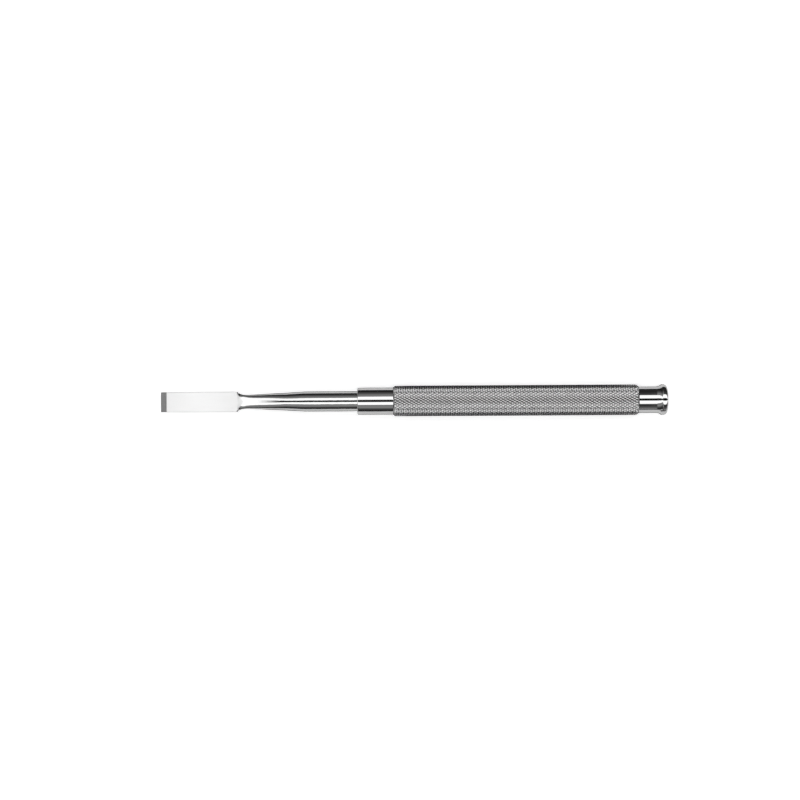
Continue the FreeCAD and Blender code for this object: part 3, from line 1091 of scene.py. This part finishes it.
white_card = place_card(
    "white_card",
    (CARD_START, -CARD_HALF_WIDTH),
    (CARD_END, CARD_HALF_WIDTH),
    AXIS_HEIGHT + CARD_HEIGHT,
)
gauze, nodes, links = bare_material("white_gauze")
place = add(nodes, "ShaderNodeTexCoord")
split = add(nodes, "ShaderNodeSeparateXYZ")
links.new(place.outputs["Object"], split.inputs["Vector"])
fade = rescale(nodes, links, split.outputs["X"], (CARD_END, CARD_END - CARD_FADE))
lit = add(nodes, "ShaderNodeEmission", Strength=CARD_GLOW)
clear = add(nodes, "ShaderNodeBsdfTransparent")
blend = add(nodes, "ShaderNodeMixShader")
links.new(fade, blend.inputs["Fac"])
links.new(clear.outputs["BSDF"], blend.inputs[1])
links.new(lit.outputs["Emission"], blend.inputs[2])
show(nodes, links, blend.outputs["Shader"])
white_card.data.materials.append(gauze)

# %% [markdown]
# Polished round bars in the photograph have dark rims, so something black lies
# on the table on both sides, closer to the tool above it in the picture than
# below it. Two sheets of felt do that.

# %% Black cards beside the tool
CARD_REACH = 0.7
CARD_HALF_LENGTH = 0.8
CARD_LIFT = 0.0005
ABOVE_EDGE, BELOW_EDGE = 0.022, -0.047


def felt(name, tone):
    """Matt felt of one grey."""
    cloth, nodes, links, shader = new_material(name)
    shader.inputs["Base Color"].default_value = grey(tone)
    shader.inputs["Roughness"].default_value = 1
    shader.inputs["Specular IOR Level"].default_value = 0
    return cloth


def lay_pair(name, start_x, end_x, above, below, cloth):
    """Lay one card on the table on each side of the tool."""
    for side, (low, high) in (("above", above), ("below", below)):
        card = place_card(name + "_" + side, (start_x, low), (end_x, high), CARD_LIFT)
        card.data.materials.append(cloth)


black_felt = felt("black_felt", 0.02)
lay_pair(
    "black_card",
    -CARD_HALF_LENGTH,
    CARD_HALF_LENGTH,
    (ABOVE_EDGE, CARD_REACH),
    (-CARD_REACH, BELOW_EDGE),
    black_felt,
)

# %% [markdown]
# The outermost line of a round bar mirrors the table right beside it, where the
# tool's own shadow lies. A thin black line along each side is painted shadow that
# only reflections see, from the neck to the lip. The rims of the knurl look a
# little further out, where the white paper would turn them pale, so a charcoal
# strip of painted shade follows the line there, along the grip alone.

# %% Painted shadow strips close to the tool
LINE_START = 27
LINE_NEAR, LINE_FAR = 0.003, 0.0068
STRIP_BELOW_EDGE = -0.026
STRIP_SHORT = 0.75

# painted shadow: black strips beside the tool stand for its contact shadow in reflections
lay_pair(
    "painted_shadow_line",
    station_x(LINE_START),
    station_x(FACE),
    (LINE_NEAR, LINE_FAR),
    (-LINE_FAR, -LINE_NEAR),
    black_felt,
)
# painted shade: charcoal strips beside the grip stand for paper in the tool's shade
lay_pair(
    "painted_shade_strip",
    station_x(GRIP_START + STRIP_SHORT),
    station_x(GRIP_END - STRIP_SHORT),
    (LINE_FAR, ABOVE_EDGE),
    (STRIP_BELOW_EDGE, -LINE_FAR),
    felt("painted_shade_felt", 0.10),
)

# %% [markdown]
# Past the tent the room is plain white, at a strength of one.

# %% A pale room
world = bpy.data.worlds.new("pale_room")
bpy.context.scene.world = world
world.use_nodes = True
background = world.node_tree.nodes["Background"]
background.inputs["Color"].default_value = grey(1)
background.inputs["Strength"].default_value = 1
print("the room has a strength of", background.inputs["Strength"].default_value)

# %% [markdown]
# ## The camera
#
# The photograph looks straight down from about half a metre, with the tool
# turned a third of a degree. Standard is the plain view: a colour comes out as
# it is written.

# %% The camera
FOCAL_LENGTH = 76.5
SENSOR_WIDTH = 36
CAMERA_X, CAMERA_Y = -0.00418, 0.00031
CAMERA_HEIGHT = 0.5242
CAMERA_TURN = math.radians(-0.31)

lens = bpy.data.cameras.new("overhead_camera")
lens.lens = FOCAL_LENGTH
lens.sensor_width = SENSOR_WIDTH
camera = bpy.data.objects.new("overhead_camera", lens)
camera.location = (CAMERA_X, CAMERA_Y, AXIS_HEIGHT + CAMERA_HEIGHT)
camera.rotation_euler = (0, 0, CAMERA_TURN)
bpy.context.scene.collection.objects.link(camera)
bpy.context.scene.camera = camera
bpy.context.scene.view_settings.view_transform = "Standard"
print("camera", round(CAMERA_HEIGHT / MM), "mm above the tool")
